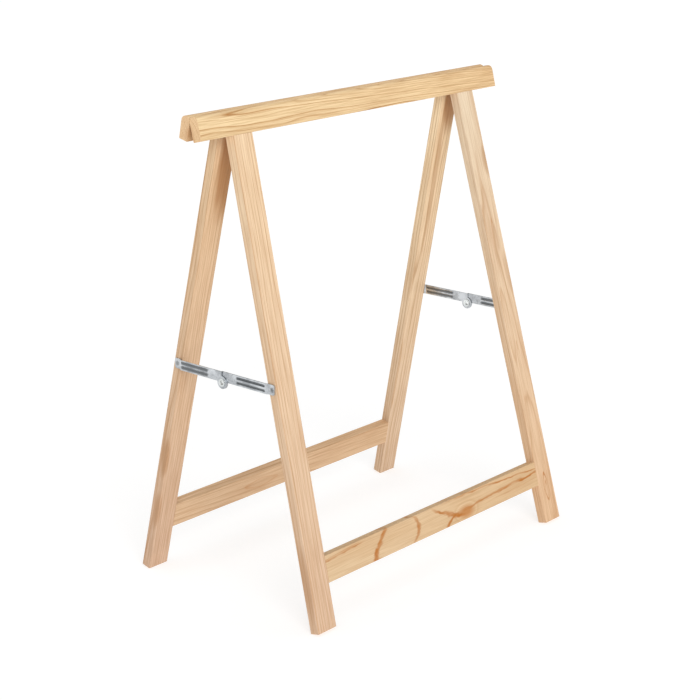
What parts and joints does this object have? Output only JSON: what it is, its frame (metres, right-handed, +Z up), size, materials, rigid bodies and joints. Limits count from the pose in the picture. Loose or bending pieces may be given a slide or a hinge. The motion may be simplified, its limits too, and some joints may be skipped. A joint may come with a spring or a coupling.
{
  "type": "folding sawhorse",
  "caption": "Folding timber sawhorse: hinged A-frames with round-topped rails, low stretchers and folding steel stays that lock the spread.",
  "frame": {"origin": "on the floor, centred under the beam between the feet", "axes": "+X along the beam, +Y towards the back frame's feet, +Z up"},
  "size_m": [0.662, 0.392, 0.7506],
  "materials": {
    "beam_pine": "planed pine, unfinished",
    "leg_pine": "planed pine, unfinished",
    "stretcher_pine": "planed pine, unfinished",
    "dowel_beech": "turned beech, glued",
    "hinge_steel": "zinc plated",
    "stay_steel": "zinc plated sheet",
    "eyelet_steel": "zinc plated, rolled",
    "screw_steel": "zinc plated"
  },
  "bodies": {
    "back_frame": {"back_rail": "beam_pine", "back_left_leg": "leg_pine", "back_right_leg": "leg_pine", "back_stretcher": "stretcher_pine", "back_rail_dowels": "dowel_beech", "back_stretcher_dowels": "dowel_beech", "left_hinge_back_leaf": "hinge_steel", "left_hinge_pin": "hinge_steel", "left_hinge_back_screws": "screw_steel", "right_hinge_back_leaf": "hinge_steel", "right_hinge_pin": "hinge_steel", "right_hinge_back_screws": "screw_steel", "left_stay_back_screw": "screw_steel", "right_stay_back_screw": "screw_steel"},
    "front_frame": {"front_rail": "beam_pine", "front_left_leg": "leg_pine", "front_right_leg": "leg_pine", "front_stretcher": "stretcher_pine", "front_rail_dowels": "dowel_beech", "front_stretcher_dowels": "dowel_beech", "left_hinge_front_leaf": "hinge_steel", "left_hinge_front_screws": "screw_steel", "right_hinge_front_leaf": "hinge_steel", "right_hinge_front_screws": "screw_steel", "left_stay_front_screw": "screw_steel", "right_stay_front_screw": "screw_steel"},
    "left_stay_back_link": {"left_stay_back_arm": "stay_steel", "left_stay_back_eyelet": "eyelet_steel"},
    "left_stay_front_link": {"left_stay_front_arm": "stay_steel", "left_stay_front_eyelet": "eyelet_steel"},
    "right_stay_back_link": {"right_stay_back_arm": "stay_steel", "right_stay_back_eyelet": "eyelet_steel"},
    "right_stay_front_link": {"right_stay_front_arm": "stay_steel", "right_stay_front_eyelet": "eyelet_steel"}
  },
  "joints": [
    {"name": "fold", "type": "hinge", "parent": "back_frame", "child": "front_frame", "pos_m": [0, 0, 0.7385], "axis": [1, 0, 0], "range_deg": [0, 27.2]},
    {"name": "left_back_arm_turn", "type": "hinge", "parent": "back_frame", "child": "left_stay_back_link", "pos_m": [-0.28349, 0.10169, 0.35774], "axis": [1, 0, 0], "range_deg": [-76.23, 0]},
    {"name": "left_front_arm_turn", "type": "hinge", "parent": "front_frame", "child": "left_stay_front_link", "pos_m": [-0.28349, -0.10169, 0.35774], "axis": [1, 0, 0], "range_deg": [0, 76.23]},
    {"name": "right_back_arm_turn", "type": "hinge", "parent": "back_frame", "child": "right_stay_back_link", "pos_m": [0.28349, 0.10169, 0.35774], "axis": [1, 0, 0], "range_deg": [-76.23, 0]},
    {"name": "right_front_arm_turn", "type": "hinge", "parent": "front_frame", "child": "right_stay_front_link", "pos_m": [0.28349, -0.10169, 0.35774], "axis": [1, 0, 0], "range_deg": [0, 76.23]}
  ],
  "couplings": [
    {"joint": "left_back_arm_turn", "follows": "fold", "ratio": -2.8025},
    {"joint": "left_front_arm_turn", "follows": "fold", "ratio": 2.8025},
    {"joint": "right_back_arm_turn", "follows": "fold", "ratio": -2.8025},
    {"joint": "right_front_arm_turn", "follows": "fold", "ratio": 2.8025}
  ]
}
